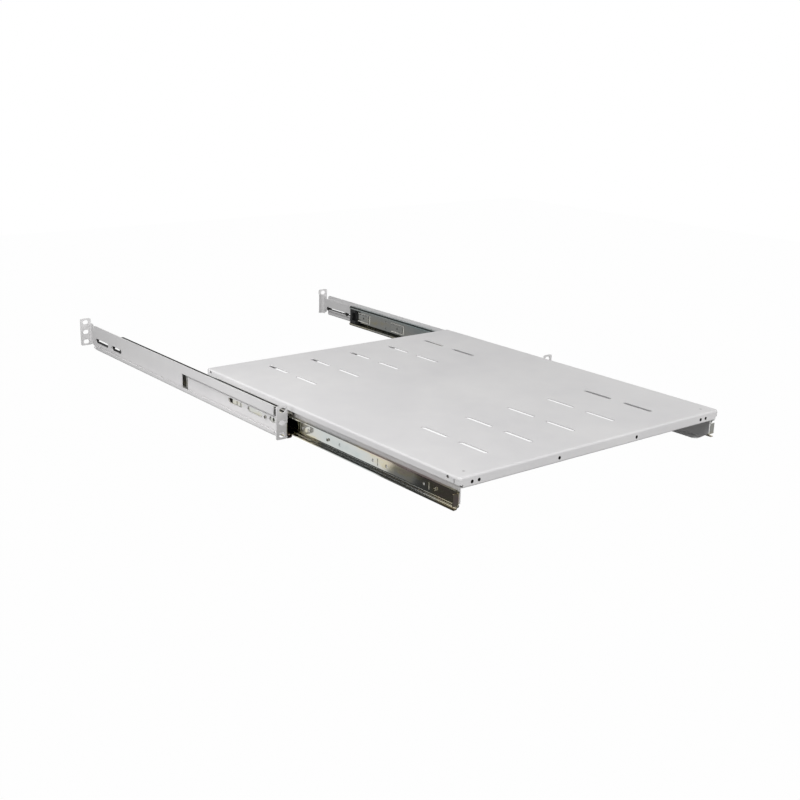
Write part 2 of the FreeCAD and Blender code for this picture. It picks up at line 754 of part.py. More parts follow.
os.makedirs("parts", exist_ok=True)
for name, shape in nodes.items():
    if not shape.isValid():
        raise RuntimeError(name + " is not a valid shape")
    shape.exportStep("parts/" + name + ".step")
    limits = shape.BoundBox
    reach = (limits.XMin, limits.XMax, limits.YMin, limits.YMax, limits.ZMin, limits.ZMax)
    print("%-20s %2d solids" % (name, len(shape.Solids)),
          "x %.1f to %.1f  y %.1f to %.1f  z %.1f to %.1f" % reach)
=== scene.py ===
# %% [markdown]
# # Dressing a sliding rack shelf
# The shelf arrives as a imported frame: every sheet, slide and screw is already in its place, in metres.
# This lesson gives each piece its finish, adds the small things that a solid modeller leaves out,
# and sets up a studio like the one that a catalogue photograph is taken in.
# We load the frame first.

# %% Load the frame
import math

import bpy
from mathutils import Matrix, Vector


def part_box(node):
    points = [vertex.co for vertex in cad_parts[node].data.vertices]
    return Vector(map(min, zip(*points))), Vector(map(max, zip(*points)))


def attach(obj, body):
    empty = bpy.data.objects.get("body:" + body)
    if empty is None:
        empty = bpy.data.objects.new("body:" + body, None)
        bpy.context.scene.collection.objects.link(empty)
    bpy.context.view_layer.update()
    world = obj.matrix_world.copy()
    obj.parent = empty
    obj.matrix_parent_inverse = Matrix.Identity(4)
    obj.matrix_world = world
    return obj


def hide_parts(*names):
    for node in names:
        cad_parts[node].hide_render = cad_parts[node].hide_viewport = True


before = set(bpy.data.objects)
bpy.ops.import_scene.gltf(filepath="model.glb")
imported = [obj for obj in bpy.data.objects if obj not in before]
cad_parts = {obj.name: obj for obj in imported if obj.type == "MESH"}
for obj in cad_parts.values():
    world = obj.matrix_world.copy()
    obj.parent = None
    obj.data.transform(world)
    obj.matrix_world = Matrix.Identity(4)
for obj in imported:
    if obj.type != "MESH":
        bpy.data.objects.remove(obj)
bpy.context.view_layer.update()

scene = bpy.context.scene
MM = 0.001
SIDES = ("left", "right")
QUARTER_TURN = math.pi / 2

# %% [markdown]
# ## The camera
# The photograph was taken with a long lens from the front left, a little above the tray.
# A camera can be pushed about by eye, but then nothing lines up. This one's place, turn and focal length
# were found by matching known points of the shelf, such as the standard ear holes and the vent slots.
# We write the turn as three angles, because they can be read: how far round, how far down, how much tilt.

# %% Camera
IMAGE_PIXELS = 800
FOCAL_PIXELS = 1160.95
SENSOR_WIDTH_MM = 36.0
NEAREST_SEEN = 0.05
CAMERA_PLACE = Vector((-0.982708, -1.158148, 0.442220))
CAMERA_ROUND = math.radians(38.972)
CAMERA_DOWN = math.radians(16.587)
CAMERA_TILT = math.radians(1.517)


def camera_axes(around, down, tilt):
    """Right, up and forward directions of a camera that looks along +Y when its angles are zero."""
    level = math.cos(down)
    forward = Vector((math.sin(around) * level, math.cos(around) * level, -math.sin(down)))
    right = Vector((math.cos(around), -math.sin(around), 0.0))
    up = right.cross(forward)
    tilted_right = right * math.cos(tilt) + up * math.sin(tilt)
    tilted_up = up * math.cos(tilt) - right * math.sin(tilt)
    return tilted_right, tilted_up, forward


right, up, forward = camera_axes(CAMERA_ROUND, CAMERA_DOWN, CAMERA_TILT)
lens = bpy.data.cameras.new("catalogue_lens")
lens.sensor_width = SENSOR_WIDTH_MM
lens.lens = FOCAL_PIXELS * SENSOR_WIDTH_MM / IMAGE_PIXELS
lens.clip_start = NEAREST_SEEN
camera = bpy.data.objects.new("catalogue_camera", lens)
camera.matrix_world = Matrix((right, up, -forward)).transposed().to_4x4()
camera.location = CAMERA_PLACE
scene.collection.objects.link(camera)
scene.camera = camera
print("focal length", round(lens.lens, 2), "mm")

# %% [markdown]
# ## Writing node trees as sums
# A finish is easier to follow when its maths reads like maths.
# The class Value wraps one socket, so that `1 - mask * 0.3` adds the Math nodes for us.
# The class Graph holds a node tree and has a single method that adds any other node:
# the node's type, the settings that are made first, and then what goes into its sockets.
# Shader trees and Geometry Nodes trees share both, because a Math node is the same in either.

# %% A value in a node tree


class Value:
    """A number, colour or shape that leaves a node by one of its output sockets."""

    def __init__(self, graph, socket):
        self.graph = graph
        self.socket = socket

    def combine(self, operation, first, second):
        return self.graph.add("ShaderNodeMath", {"operation": operation}, {0: first, 1: second})

    def __add__(self, other):
        return self.combine("ADD", self, other)

    def __sub__(self, other):
        return self.combine("SUBTRACT", self, other)

    def __mul__(self, other):
        return self.combine("MULTIPLY", self, other)

    def __truediv__(self, other):
        return self.combine("DIVIDE", self, other)

    def __pow__(self, other):
        return self.combine("POWER", self, other)

    def __radd__(self, other):
        return self.combine("ADD", other, self)

    def __rsub__(self, other):
        return self.combine("SUBTRACT", other, self)

    def __rmul__(self, other):
        return self.combine("MULTIPLY", other, self)

    def above(self, other):
        return self.combine("GREATER_THAN", self, other)

    def at_least(self, other):
        return self.combine("MAXIMUM", self, other)

    def at_most(self, other):
        return self.combine("MINIMUM", self, other)


print("Value ready, with sums, products, powers and limits")

# %% A node tree


class Graph:
    """A node tree, and one way to add nodes to it."""

    def __init__(self, tree):
        self.tree = tree

    def add(self, kind, settings=None, inputs=None, output=0):
        node = self.tree.nodes.new(kind)
        for key, setting in (settings or {}).items():
            if key == "stops":
                self.set_stops(node, setting)
            else:
                setattr(node, key, setting)
        for key, value in (inputs or {}).items():
            self.feed(node.inputs[key], value)
        return Value(self, node.outputs[output])

    def set_stops(self, node, stops):
        ramp = node.color_ramp.elements
        while len(ramp) < len(stops):
            ramp.new(0.5)
        for element, (place, colour) in zip(ramp, stops):
            element.position = place
            element.color = colour

    def feed(self, socket, value):
        if isinstance(value, Value):
            self.tree.links.new(value.socket, socket)
        else:
            socket.default_value = value


print("Graph ready")

# %% [markdown]
# ## Finishes
# A finish is a material with one Principled shader. Its colours are written as they are read off a screen,
# and turned into the linear values that shaders count in.
# Noise is always read at Object coordinates, in metres, so one scale means one grain size on every piece.
# A stretch below one draws the noise out along its axis, as rolling draws out marks in steel.

# %% A finish
EVEN = (1.0, 1.0, 1.0)


class Finish(Graph):
    """One material with a Principled shader."""

    def __init__(self, name, **sockets):
        self.material = bpy.data.materials.new(name)
        self.material.use_nodes = True
        super().__init__(self.material.node_tree)
        self.shader = self.tree.nodes["Principled BSDF"]
        self.give(**sockets)

    def give(self, **sockets):
        """Feed the shader's sockets, written with _ for each space in their names."""
        for key, value in sockets.items():
            self.feed(self.shader.inputs[key.replace("_", " ")], value)

    def noise(self, scale, detail, stretch=EVEN):
        place = self.add("ShaderNodeTexCoord", output="Object")
        drawn = self.add("ShaderNodeMapping", None, {"Vector": place, "Scale": stretch})
        return self.add("ShaderNodeTexNoise", None, {"Vector": drawn, "Scale": scale, "Detail": detail})

    def blend(self, mask, first, second):
        return self.add("ShaderNodeMix", {"data_type": "RGBA"}, {0: mask, 6: first, 7: second}, output=2)

    def ramp(self, value, *stops):
        return self.add("ShaderNodeValToRGB", {"stops": stops}, {0: value})

    def bump(self, height, distance, strength):
        sockets = {"Height": height, "Distance": distance, "Strength": strength}
        return self.add("ShaderNodeBump", None, sockets)


def linear(red, green, blue):
    """A colour as it is read off a screen, 0 to 255, turned into the linear values shaders use."""
    def channel(c):
        c = c / 255
        return c / 12.92 if c <= 0.04045 else ((c + 0.055) / 1.055) ** 2.4
    return (channel(red), channel(green), channel(blue), 1.0)


print("Finish ready")

# %% Which pieces get a finish


def dress(names, finish):
    """Put a finish on CAD nodes, over every slot that they have."""
    for name in names:
        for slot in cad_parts[name].material_slots:
            slot.material = finish.material
    print(finish.material.name, "on", len(names), "nodes")


def both(*names):
    """Names of the left and right nodes of each kind."""
    return [name + "_" + side for name in names for side in SIDES]


print("nodes of one side, for example", both("front_rail"))

# %% [markdown]
# ## Light grey powder coat
# The folded sheets are sprayed with powder and baked, which leaves a satin coat with a fine skin
# like orange peel. One flat grey would look like plastic. The colour is nearly even, so the life comes
# from noise instead: a slow cloud in the tone, smudges that change mostly the gloss,
# and a skin of small waves for the highlights.
# The skin is kept shallow: seen from two metres, a deep one would sparkle like sand.

# %% Powder coat


def powder_coat():
    finish = Finish("powder_coat_light_grey", Specular_IOR_Level=0.4)
    cloud = finish.noise(scale=6.0, detail=3.0)
    smudge = finish.noise(scale=38.0, detail=4.0)
    skin = finish.noise(scale=420.0, detail=2.0)
    wave = finish.noise(scale=90.0, detail=1.0)
    tone = finish.ramp(cloud * 0.7 + smudge * 0.3,
                       (0.35, linear(203, 202, 203)),
                       (0.65, linear(211, 210, 210)))
    finish.give(Base_Color=tone)
    finish.give(Roughness=0.46 + smudge * 0.16)
    finish.give(Normal=finish.bump(skin * 0.6 + wave * 0.4, distance=0.03 * MM, strength=0.35))
    return finish


powder = powder_coat()
dress(["shelf_tray"] + both("front_rail", "rear_bracket", "side_bracket"), powder)

# %% [markdown]
# ## Zinc plated slides
# The slide members are rolled from steel strip, zinc plated and given a thin passive layer.
# That layer tints the metal from blue green to straw yellow and pink, in long drifts along the strip.
# A thin film that varies could work the tints out, but the export can't bake its thickness, so we paint
# them: a ramp on a noise that is stretched along the slide. Rolling leaves fine lines along it too,
# so a second noise is stretched far more, and goes to the roughness and the bump.

# %% Zinc


def zinc_plate():
    finish = Finish("zinc_plate_passivated", Metallic=1.0)
    drift = finish.noise(scale=22.0, detail=3.0, stretch=(1.0, 0.22, 1.0))
    lines = finish.noise(scale=650.0, detail=2.0, stretch=(1.0, 0.012, 1.0))
    blotch = finish.noise(scale=130.0, detail=3.0, stretch=(1.0, 0.5, 1.0))
    tint = finish.ramp(drift * 0.85 + blotch * 0.15,
                       (0.34, linear(178, 192, 192)),
                       (0.46, linear(202, 206, 204)),
                       (0.55, linear(205, 205, 199)),
                       (0.6, linear(209, 203, 178)),
                       (0.67, linear(209, 190, 189)))
    finish.give(Base_Color=tint)
    finish.give(Roughness=0.03 + lines * 0.03 + blotch * 0.03)
    finish.give(Normal=finish.bump(lines * 0.7 + blotch * 0.3, distance=0.02 * MM, strength=0.12))
    return finish


dress(both("slide_outer", "slide_inner", "ball_cage"), zinc_plate())

# %% [markdown]
# ## Black stops and glides
# The end stops are moulded in black plastic, with the dull grain that an etched
# mould leaves. The glide strips behind the rails' slots get the same black as painted shade in the lower
# half of the slots.
# Black that is quite even looks like a hole in the picture, so the tone drifts slowly,
# as it does where the melt flowed, and a fine grain breaks up the gloss.

# %% Black plastic


def black_plastic_and_slot_shade():
    finish = Finish("black_moulded_plastic", Specular_IOR_Level=0.35)
    grain = finish.noise(scale=900.0, detail=2.0)
    flow = finish.noise(scale=60.0, detail=2.0)
    finish.give(Base_Color=finish.blend(flow, linear(18, 18, 19), linear(27, 27, 28)))
    finish.give(Roughness=0.42 + grain * 0.2)
    finish.give(Normal=finish.bump(grain, distance=0.04 * MM, strength=0.4))
    return finish


# Black on the glide strips is painted shade in the rails' slots; the stops are black plastic.
dress(both("slide_bumper", "glide_strip"), black_plastic_and_slot_shade())

# %% [markdown]
# ## Polished balls
# The balls are ground and polished, with a trace of grease that dulls and yellows them in patches.
# On small parts one noise is enough: where it is high, the second tone shows and the surface is duller.
# The fasteners further on work the same way, so we write this as a function of tones, gloss and bump.

# %% Ball steel


def patched(name, scale, detail, tones, gloss, relief=None, **sockets):
    """A finish whose one noise mixes two tones, adds to the roughness and, if asked, raises a relief."""
    finish = Finish(name, **sockets)
    patch = finish.noise(scale, detail)
    clean, worn = tones
    least, range_of_gloss = gloss
    finish.give(Base_Color=finish.blend(patch, linear(*clean), linear(*worn)))
    finish.give(Roughness=least + patch * range_of_gloss)
    if relief:
        distance, strength = relief
        finish.give(Normal=finish.bump(patch, distance, strength))
    return finish


ball_steel = patched("polished_ball_steel", scale=240.0, detail=3.0, Metallic=1.0,
                     tones=((205, 206, 208), (176, 170, 152)), gloss=(0.06, 0.2))
dress(both("cage_balls"), ball_steel)

# %% [markdown]
# ## Screw and rivet steel
# Small fasteners are tumbled in the plating barrel, so they are bright with a grain that has no direction.
# The rivets in the tray are painted like the tray but in a darker grey, which is painted shade: a darker
# spot shows where each one sits.
# The threads in the front holes are bare oiled steel, painted near black as the shade inside the holes, and
# the guide rivets get the same near-black finish as painted shade at the ends of their slots.
# The seat rivets need none of these, because they are sprayed with the rails.

# %% Fastener finishes
plated = patched("plated_screw_steel", scale=700.0, detail=3.0, Metallic=1.0,
                 tones=((206, 205, 202), (176, 173, 162)), gloss=(0.12, 0.12), relief=(0.02 * MM, 0.4))
# Darker grey than the tray: painted shade on the rivet heads, so each rivet shows as a darker spot.
painted_rivet = patched("painted_rivet", scale=500.0, detail=3.0, Specular_IOR_Level=0.4,
                        tones=((148, 147, 147), (176, 175, 174)), gloss=(0.38, 0.2))
# Near black: oiled steel with painted shade, so the front holes and the slot ends look dark.
oil_and_hole_shade = patched("oiled_thread_steel", scale=400.0, detail=2.0, Metallic=0.6,
                tones=((20, 20, 21), (38, 37, 35)), gloss=(0.3, 0.3))
print("fastener finishes", [finish.material.name for finish in (plated, painted_rivet, oil_and_hole_shade)])

# %% [markdown]
# ## Heads that repeat, with Geometry Nodes
# Screws and rivets repeat, so one tree makes a head and sets it on every point of a point cloud.
# Copies made by hand would look the same, but a tree keeps its sizes as named inputs,
# so one tree serves the large rail screws and the small ones.
# A head starts as a cylinder whose cap has rings of points, and each ring is then lowered into a dome.
# Each head gets a random spin with a fixed seed, because nobody lines up the crosses of real screws.

# %% A shape made of nodes
ROUND_POINTS = 32
TOP_SHARE = 0.9


class Shape(Graph):
    """A Geometry Nodes tree with named sizes, that ends in real faces with a material."""

    def __init__(self, name, *sizes):
        super().__init__(bpy.data.node_groups.new(name, "GeometryNodeTree"))
        sockets = self.tree.interface
        sockets.new_socket("Geometry", in_out="INPUT", socket_type="NodeSocketGeometry")
        for size in sizes:
            sockets.new_socket(size, in_out="INPUT", socket_type="NodeSocketFloat")
        sockets.new_socket("Geometry", in_out="OUTPUT", socket_type="NodeSocketGeometry")
        entry = self.tree.nodes.new("NodeGroupInput")
        self.points = Value(self, entry.outputs["Geometry"])
        self.sizes = {size: Value(self, entry.outputs[size]) for size in sizes}

    def vector(self, x=0.0, y=0.0, z=0.0):
        return self.add("ShaderNodeCombineXYZ", None, {0: x, 1: y, 2: z})

    def position(self):
        """X, Y and Z of each point of a shape."""
        place = self.add("GeometryNodeInputPosition")
        parts = self.add("ShaderNodeSeparateXYZ", None, {0: place})
        return [Value(self, socket) for socket in parts.socket.node.outputs]

    def lift(self, shape, height):
        sockets = {"Geometry": shape, "Translation": self.vector(z=height)}
        return self.add("GeometryNodeTransform", None, sockets)

    def cylinder(self, radius, depth, middle, rings=1):
        """Upright cylinder with its middle at a height, and rings of points on its caps."""
        body = self.add("GeometryNodeMeshCylinder", None, {
            "Vertices": ROUND_POINTS, "Side Segments": 1, "Fill Segments": rings,
            "Radius": radius, "Depth": depth})
        return self.lift(body, middle)

    def lower_top(self, shape, height, z, drop):
        """Lower the points of the upper cap by a drop that differs from ring to ring."""
        on_top = z.above(height * TOP_SHARE)
        sockets = {"Geometry": shape, "Offset": self.vector(z=0.0 - on_top * drop)}
        return self.add("GeometryNodeSetPosition", None, sockets)

    def join(self, *shapes):
        node = self.tree.nodes.new("GeometryNodeJoinGeometry")
        for shape in reversed(shapes):
            self.tree.links.new(shape.socket, node.inputs[0])
        return Value(self, node.outputs[0])

    def place_on_points(self, shape, tilt, seed, most=math.tau):
        """Set a shape on each point, spun by chance about its own axis and then tilted about Y."""
        chance = self.add("FunctionNodeRandomValue", None, {2: 0.0, 3: most, "Seed": seed}, output=1)
        about_z = {"Axis": (0.0, 0.0, 1.0), "Angle": chance}
        spin = self.add("FunctionNodeAxisAngleToRotation", None, about_z)
        lean = self.add("FunctionNodeEulerToRotation", None, {0: self.vector(y=tilt)})
        turned = self.add("FunctionNodeRotateRotation", {"rotation_space": "GLOBAL"}, {0: spin, 1: lean})
        return self.add("GeometryNodeInstanceOnPoints", None, {
            "Points": self.points, "Instance": shape, "Rotation": turned})

    def close(self, shape, finish):
        solid = self.add("GeometryNodeRealizeInstances", None, {0: shape})
        sockets = {"Geometry": solid, "Material": finish.material}
        painted = self.add("GeometryNodeSetMaterial", None, sockets)
        exit_node = self.tree.nodes.new("NodeGroupOutput")
        self.tree.links.new(painted.socket, exit_node.inputs["Geometry"])
        print(self.tree.name, len(self.tree.nodes), "nodes")
        return self.tree


print("Shape ready, with", ROUND_POINTS, "points round a cylinder")

# %% From a tree to a piece


def grow(name, points, tree, sizes, body, node=None, turn=None):
    """Run a tree on points, keep the result as a plain mesh, turn it if asked and let it ride on a body."""
    cloud_mesh = bpy.data.meshes.new(name + "_points")
    cloud_mesh.from_pydata(points, [], [])
    piece = bpy.data.objects.new(name, cloud_mesh)
    scene.collection.objects.link(piece)
    modifier = piece.modifiers.new("shape", "NODES")
    modifier.node_group = tree
    for item in tree.interface.items_tree:
        if item.in_out == "INPUT" and item.name in sizes:
            modifier[item.identifier] = sizes[item.name]
    evaluated = piece.evaluated_get(bpy.context.evaluated_depsgraph_get())
    made = bpy.data.meshes.new_from_object(evaluated)
    piece.modifiers.remove(modifier)
    piece.data = made
    bpy.data.meshes.remove(cloud_mesh)
    if turn:
        made.transform(turn)
    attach(piece, body)
    if node:
        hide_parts(node)
    print(name, len(made.polygons), "faces on", len(points), "points")


def in_metres(**sizes):
    """Sizes written in millimetres, with _ for each space in their names, as inputs for a tree."""
    return {name.replace("_", " "): size * MM for name, size in sizes.items()}


print("a size for a tree", in_metres(Head_radius=3.5))

# %% [markdown]
# ## Screws with a cross recess
# The slides are held by screws with low domed heads and a cross recess.
# A bump could draw the cross, but from the side a bump looks flat, so it is cut with a Boolean:
# two crossed bars taken out of the head. Each ring of the cap is lowered by a power of its distance
# from the middle, which makes the dome. The shank goes down through the sheets,
# so that its end still shows on the far side as the real one does.

# %% Screw tree
SCREW_RINGS = 6
RIM_POWER = 1.3
RIM_DROP = 0.72
CROSS_LENGTH = 1.15
CROSS_WIDTH = 0.26
SCREW_SEED = 4


def cross_recess(tree, radius, height):
    """Two crossed bars that reach halfway down into a head."""
    bars = []
    for long_x, long_y in ((CROSS_LENGTH, CROSS_WIDTH), (CROSS_WIDTH, CROSS_LENGTH)):
        size = tree.vector(radius * long_x, radius * long_y, height)
        bar = tree.add("GeometryNodeMeshCube", None, {"Size": size})
        bars.append(tree.lift(bar, height))
    return tree.add("GeometryNodeMeshBoolean", {"operation": "UNION"}, {1: tree.join(*bars)})


def screw_tree():
    tree = Shape("pan_head_screw", "Head radius", "Head height", "Shank radius", "Shank length", "Tilt")
    radius, height, shank, length, tilt = tree.sizes.values()
    head = tree.cylinder(radius, height, height * 0.5, rings=SCREW_RINGS)
    x, y, z = tree.position()
    share = (x ** 2 + y ** 2) / (radius ** 2)
    head = tree.lower_top(head, height, z, share ** RIM_POWER * RIM_DROP * height)
    cross = cross_recess(tree, radius, height)
    head = tree.add("GeometryNodeMeshBoolean", {"operation": "DIFFERENCE"}, {0: head, 1: cross})
    body = tree.cylinder(shank, length, length * -0.5)
    return tree.close(tree.place_on_points(tree.join(head, body), tilt, SCREW_SEED), plated)


pan_screw = screw_tree()

# %% [markdown]
# ## Where the screws go
# The frame already holds plain screws, so we read their places from it instead of writing them again.
# Points of one screw lie close together along the slide, and the next screw is far away:
# sorting the points and cutting at the wide gaps gives the middle of each screw.

# %% Fastener places
WIDE_GAP = 12 * MM


def middles(node, axis):
    """Middle of each fastener of a node along one axis, 0 for X and 1 for Y."""
    along = sorted(corner.co[axis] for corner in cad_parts[node].data.vertices)
    groups = [[along[0]]]
    for place in along[1:]:
        if place - groups[-1][-1] > WIDE_GAP:
            groups.append([])
        groups[-1].append(place)
    return [(group[0] + group[-1]) / 2 for group in groups]


def outward(side):
    return -1.0 if side == "left" else 1.0


def far_and_near(node, side):
    """Outermost and innermost X of a node, seen from the middle of the shelf."""
    low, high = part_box(node)
    return (low[0], high[0]) if side == "left" else (high[0], low[0])


def spots_along(node, x):
    """One point for each fastener of a node along Y, at its middle height and a given X."""
    low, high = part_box(node)
    height = (low[2] + high[2]) / 2
    return [(x, y, height) for y in middles(node, 1)]


print("left shelf screws at", [round(y, 4) for y in middles("shelf_screws_left", 1)])

# %% Set the screws
SCREW_HEAD_HEIGHT = 2.0 * MM
SCREW_SHANK_RADIUS = 1.95 * MM
HEAD_RADIUS = {"rail_screw": 4.2 * MM, "shelf_screws": 3.5 * MM}
BODY = {"rail_screw": "rails", "shelf_screws": "shelf"}

for kind, radius in HEAD_RADIUS.items():
    for side in SIDES:
        node = kind + "_" + side
        far, near = far_and_near(node, side)
        seat = far - outward(side) * SCREW_HEAD_HEIGHT
        sizes = {"Head radius": radius, "Head height": SCREW_HEAD_HEIGHT,
                 "Shank radius": SCREW_SHANK_RADIUS, "Shank length": abs(seat - near),
                 "Tilt": outward(side) * QUARTER_TURN}
        spots = spots_along(node, seat)
        grow(node + "_cross_head", spots, pan_screw, sizes, BODY[kind], node)

# %% [markdown]
# ## Rivets
# A rivet's head is a low dome. A blind rivet has a dimple in the middle where its pin broke off.
# Both could be modelled by hand, but each is a rule on the distance from the middle:
# the dome is a square law, and the dimple is a smaller one taken out of it, both on the rings of the cap.

# %% Rivet tree
RIVET_RINGS = 8
RIVET_SEED = 9


def rivet_tree(name, finish):
    tree = Shape(name, "Head radius", "Head height", "Dome", "Dimple radius", "Dimple depth",
                 "Shoulder radius", "Shoulder length", "Tail radius", "Tail length", "Tilt")
    radius, height, dome, dimple_radius, dimple_depth, *rest = tree.sizes.values()
    shoulder, shoulder_length, tail, tail_length, tilt = rest
    head = tree.cylinder(radius, height, height * 0.5, rings=RIVET_RINGS)
    x, y, z = tree.position()
    square = x ** 2 + y ** 2
    fall = square / (radius ** 2) * dome
    dimple = (1.0 - square / (dimple_radius ** 2)).at_least(0.0) * dimple_depth
    head = tree.lower_top(head, height, z, fall + dimple)
    neck = tree.cylinder(shoulder, shoulder_length, shoulder_length * -0.5)
    end = tree.cylinder(tail, tail_length, shoulder_length * -1.0 - tail_length * 0.5)
    return tree.close(tree.place_on_points(tree.join(head, neck, end), tilt, RIVET_SEED), finish)


seat_rivet = rivet_tree("painted_seat_rivet", powder)
# The guide rivets are near black: painted shade at the ends of the rails' slots.
dark_rivet = rivet_tree("oiled_guide_rivet", oil_and_hole_shade)
tray_rivet = rivet_tree("painted_tray_rivet", painted_rivet)

# %% Set the rail rivets
SEAT_RIVET = in_metres(Head_radius=3.5, Head_height=0.5, Dome=0.3, Dimple_radius=1.0, Dimple_depth=0.1,
                       Shoulder_radius=1.95, Shoulder_length=1.2, Tail_radius=1.95)
GUIDE_RIVET = in_metres(Head_radius=3.0, Head_height=1.8, Dome=1.0, Dimple_radius=1.0, Dimple_depth=0.2,
                        Shoulder_radius=1.65, Shoulder_length=2.9, Tail_radius=0.95)


def set_rail_rivets(kind, pattern, tree):
    """Rivets of one kind on both rails, with their heads towards the middle of the shelf."""
    for side in SIDES:
        node = kind + "_" + side
        far, near = far_and_near(node, side)
        seat = near + outward(side) * pattern["Head height"]
        tail = abs(far - seat) - pattern["Shoulder length"]
        sizes = dict(pattern, Tilt=-outward(side) * QUARTER_TURN, **{"Tail length": tail})
        grow(node + "_domed", spots_along(node, seat), tree, sizes, "rails", node)


set_rail_rivets("seat_rivet", SEAT_RIVET, seat_rivet)
set_rail_rivets("guide_rivets", GUIDE_RIVET, dark_rivet)

# %% Set the tray rivets
TRAY_RIVET = in_metres(Head_radius=1.75, Head_height=0.6, Dome=0.05, Dimple_radius=0.8, Dimple_depth=0.5,
                       Shoulder_radius=1.15, Shoulder_length=0.8, Tail_radius=1.15)
low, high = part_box("tray_rivets")
seat = high[2] - TRAY_RIVET["Head height"]
TRAY_RIVET["Tail length"] = seat - low[2] - TRAY_RIVET["Shoulder length"]
TRAY_RIVET["Tilt"] = 0.0
row = (low[1] + high[1]) / 2
corners = [(x, row, seat) for x in middles("tray_rivets", 0)]
grow("tray_rivets_painted", corners, tray_rivet, TRAY_RIVET, "shelf", "tray_rivets")

# %% [markdown]
# ## Bright rims round the lanced tabs
# Each outer slide member has two tabs, cut free on three sides and bent in a little.
# The cut leaves a rounded edge of bright metal. As mirror metal it would show dark surroundings like the
# web beside it, so the rims get a pale grey that isn't metallic: a painted highlight that keeps the edges
# bright.
# A rectangle drawn as a curve, trimmed to three of its four sides, gives the U as a path.
# Curve to Mesh then runs a small circle along it.
# These pieces must not spin, so their largest spin is zero.

# %% Torn edge, with a painted highlight
# Near white and not metallic: a painted highlight on the rims.
rim_highlight = patched("sheared_bright_edge", scale=900.0, detail=2.0, Metallic=0.0, Specular_IOR_Level=0.8,
                  tones=((236, 235, 230), (214, 212, 204)), gloss=(0.42, 0.2), relief=(0.02 * MM, 0.3))
print("rims in", rim_highlight.material.name)

# %% Rim tree
RIM_SIDES = 10
RIM_SEED = 1


def rim_tree():
    tree = Shape("tab_rim", "Length", "Height", "Rim radius", "Tilt")
    length, height, rim_radius, tilt = tree.sizes.values()
    box = {"Width": length, "Height": height}
    outline = tree.add("GeometryNodeCurvePrimitiveQuadrilateral", None, box)
    three_sides = (length * 2.0 + height) / (length * 2.0 + height * 2.0)
    path = tree.add("GeometryNodeTrimCurve", None, {"Curve": outline, "End": three_sides})
    lengthwise = {"Geometry": path, "Rotation": (0.0, 0.0, QUARTER_TURN)}
    along = tree.add("GeometryNodeTransform", None, lengthwise)
    circle = {"Resolution": RIM_SIDES, "Radius": rim_radius}
    section = tree.add("GeometryNodeCurvePrimitiveCircle", None, circle)
    swept = {"Curve": along, "Profile Curve": section, "Fill Caps": True}
    rim = tree.add("GeometryNodeCurveToMesh", None, swept)
    return tree.close(tree.place_on_points(rim, tilt, RIM_SEED, most=0.0), rim_highlight)


tab_rim = rim_tree()

# %% Set the rims
TAB_RIM = in_metres(Length=33.0, Height=14.0, Rim_radius=0.8)
TABS_FROM_REAR = (33.0 * MM, 127.5 * MM)
WEB_SHEET = 1.2 * MM

for side in SIDES:
    low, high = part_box("slide_outer_" + side)
    web = far_and_near("slide_outer_" + side, side)[0]
    inner_face = web - outward(side) * WEB_SHEET
    height = (low[2] + high[2]) / 2
    spots = [(inner_face, high[1] - place, height) for place in TABS_FROM_REAR]
    sizes = dict(TAB_RIM, Tilt=outward(side) * QUARTER_TURN)
    grow("tab_rims_" + side, spots, tab_rim, sizes, "rails")

# %% [markdown]
# ## Threads in the front holes
# The six holes of the front flange have short collars behind them, tapped for screws.
# A Screw modifier could wind a thread, but its open ends would need closing.
# A thread is one ridge that climbs as it goes round, so its height along the hole and its angle around it
# can be added: the fraction of that sum, folded into a triangle, says how far the ridge stands in.
# We shape a rod that way and take it out of a plain sleeve, which leaves the thread standing in the sleeve.

# %% Thread tree
ROD_POINTS = 24
ROD_STEPS = 40
ROD_OVERLENGTH = 1.2
THREAD_WALL = 0.04 * MM
THREAD_SEED = 2


def thread_tree():
    tree = Shape("tapped_sleeve", "Radius", "Length", "Pitch", "Depth", "Tilt")
    radius, length, pitch, depth, tilt = tree.sizes.values()
    sleeve = tree.cylinder(radius, length, 0.0)
    rod = tree.add("GeometryNodeMeshCylinder", None, {
        "Vertices": ROD_POINTS, "Side Segments": ROD_STEPS, "Fill Segments": 1,
        "Radius": radius, "Depth": length * ROD_OVERLENGTH})
    x, y, z = tree.position()
    turn = y.combine("ARCTAN2", y, x) / math.tau
    climb = z / pitch + turn
    ridge = climb.combine("PINGPONG", climb, 0.5) * 2.0
    share = 1.0 - (ridge * depth + THREAD_WALL) / radius
    narrow = tree.vector(x * share, y * share, z)
    rod = tree.add("GeometryNodeSetPosition", None, {"Geometry": rod, "Position": narrow})
    tapped = tree.add("GeometryNodeMeshBoolean", {"operation": "DIFFERENCE"}, {0: sleeve, 1: rod})
    # The thread is near black: oiled steel with painted shade inside the holes.
    return tree.close(tree.place_on_points(tapped, tilt, THREAD_SEED), oil_and_hole_shade)


tapped_sleeve = thread_tree()

# %% [markdown]
# The tree tilts its pieces about Y, which suits the slides, but these holes run along Y.
# So the sleeves are grown standing up, and the whole set is laid down with a quarter turn about X.

# %% Set the threads
HOLE_PLACES = [x * MM for x in (-200.8, -190.8, -69.3, 61.7, 183.2, 193.2)]
HOLE_HEIGHT = 13.45 * MM
SLEEVE_SETBACK = 0.1 * MM
SLEEVE = in_metres(Radius=2.08, Length=5.0, Pitch=0.8, Depth=0.3)
SLEEVE["Tilt"] = 0.0

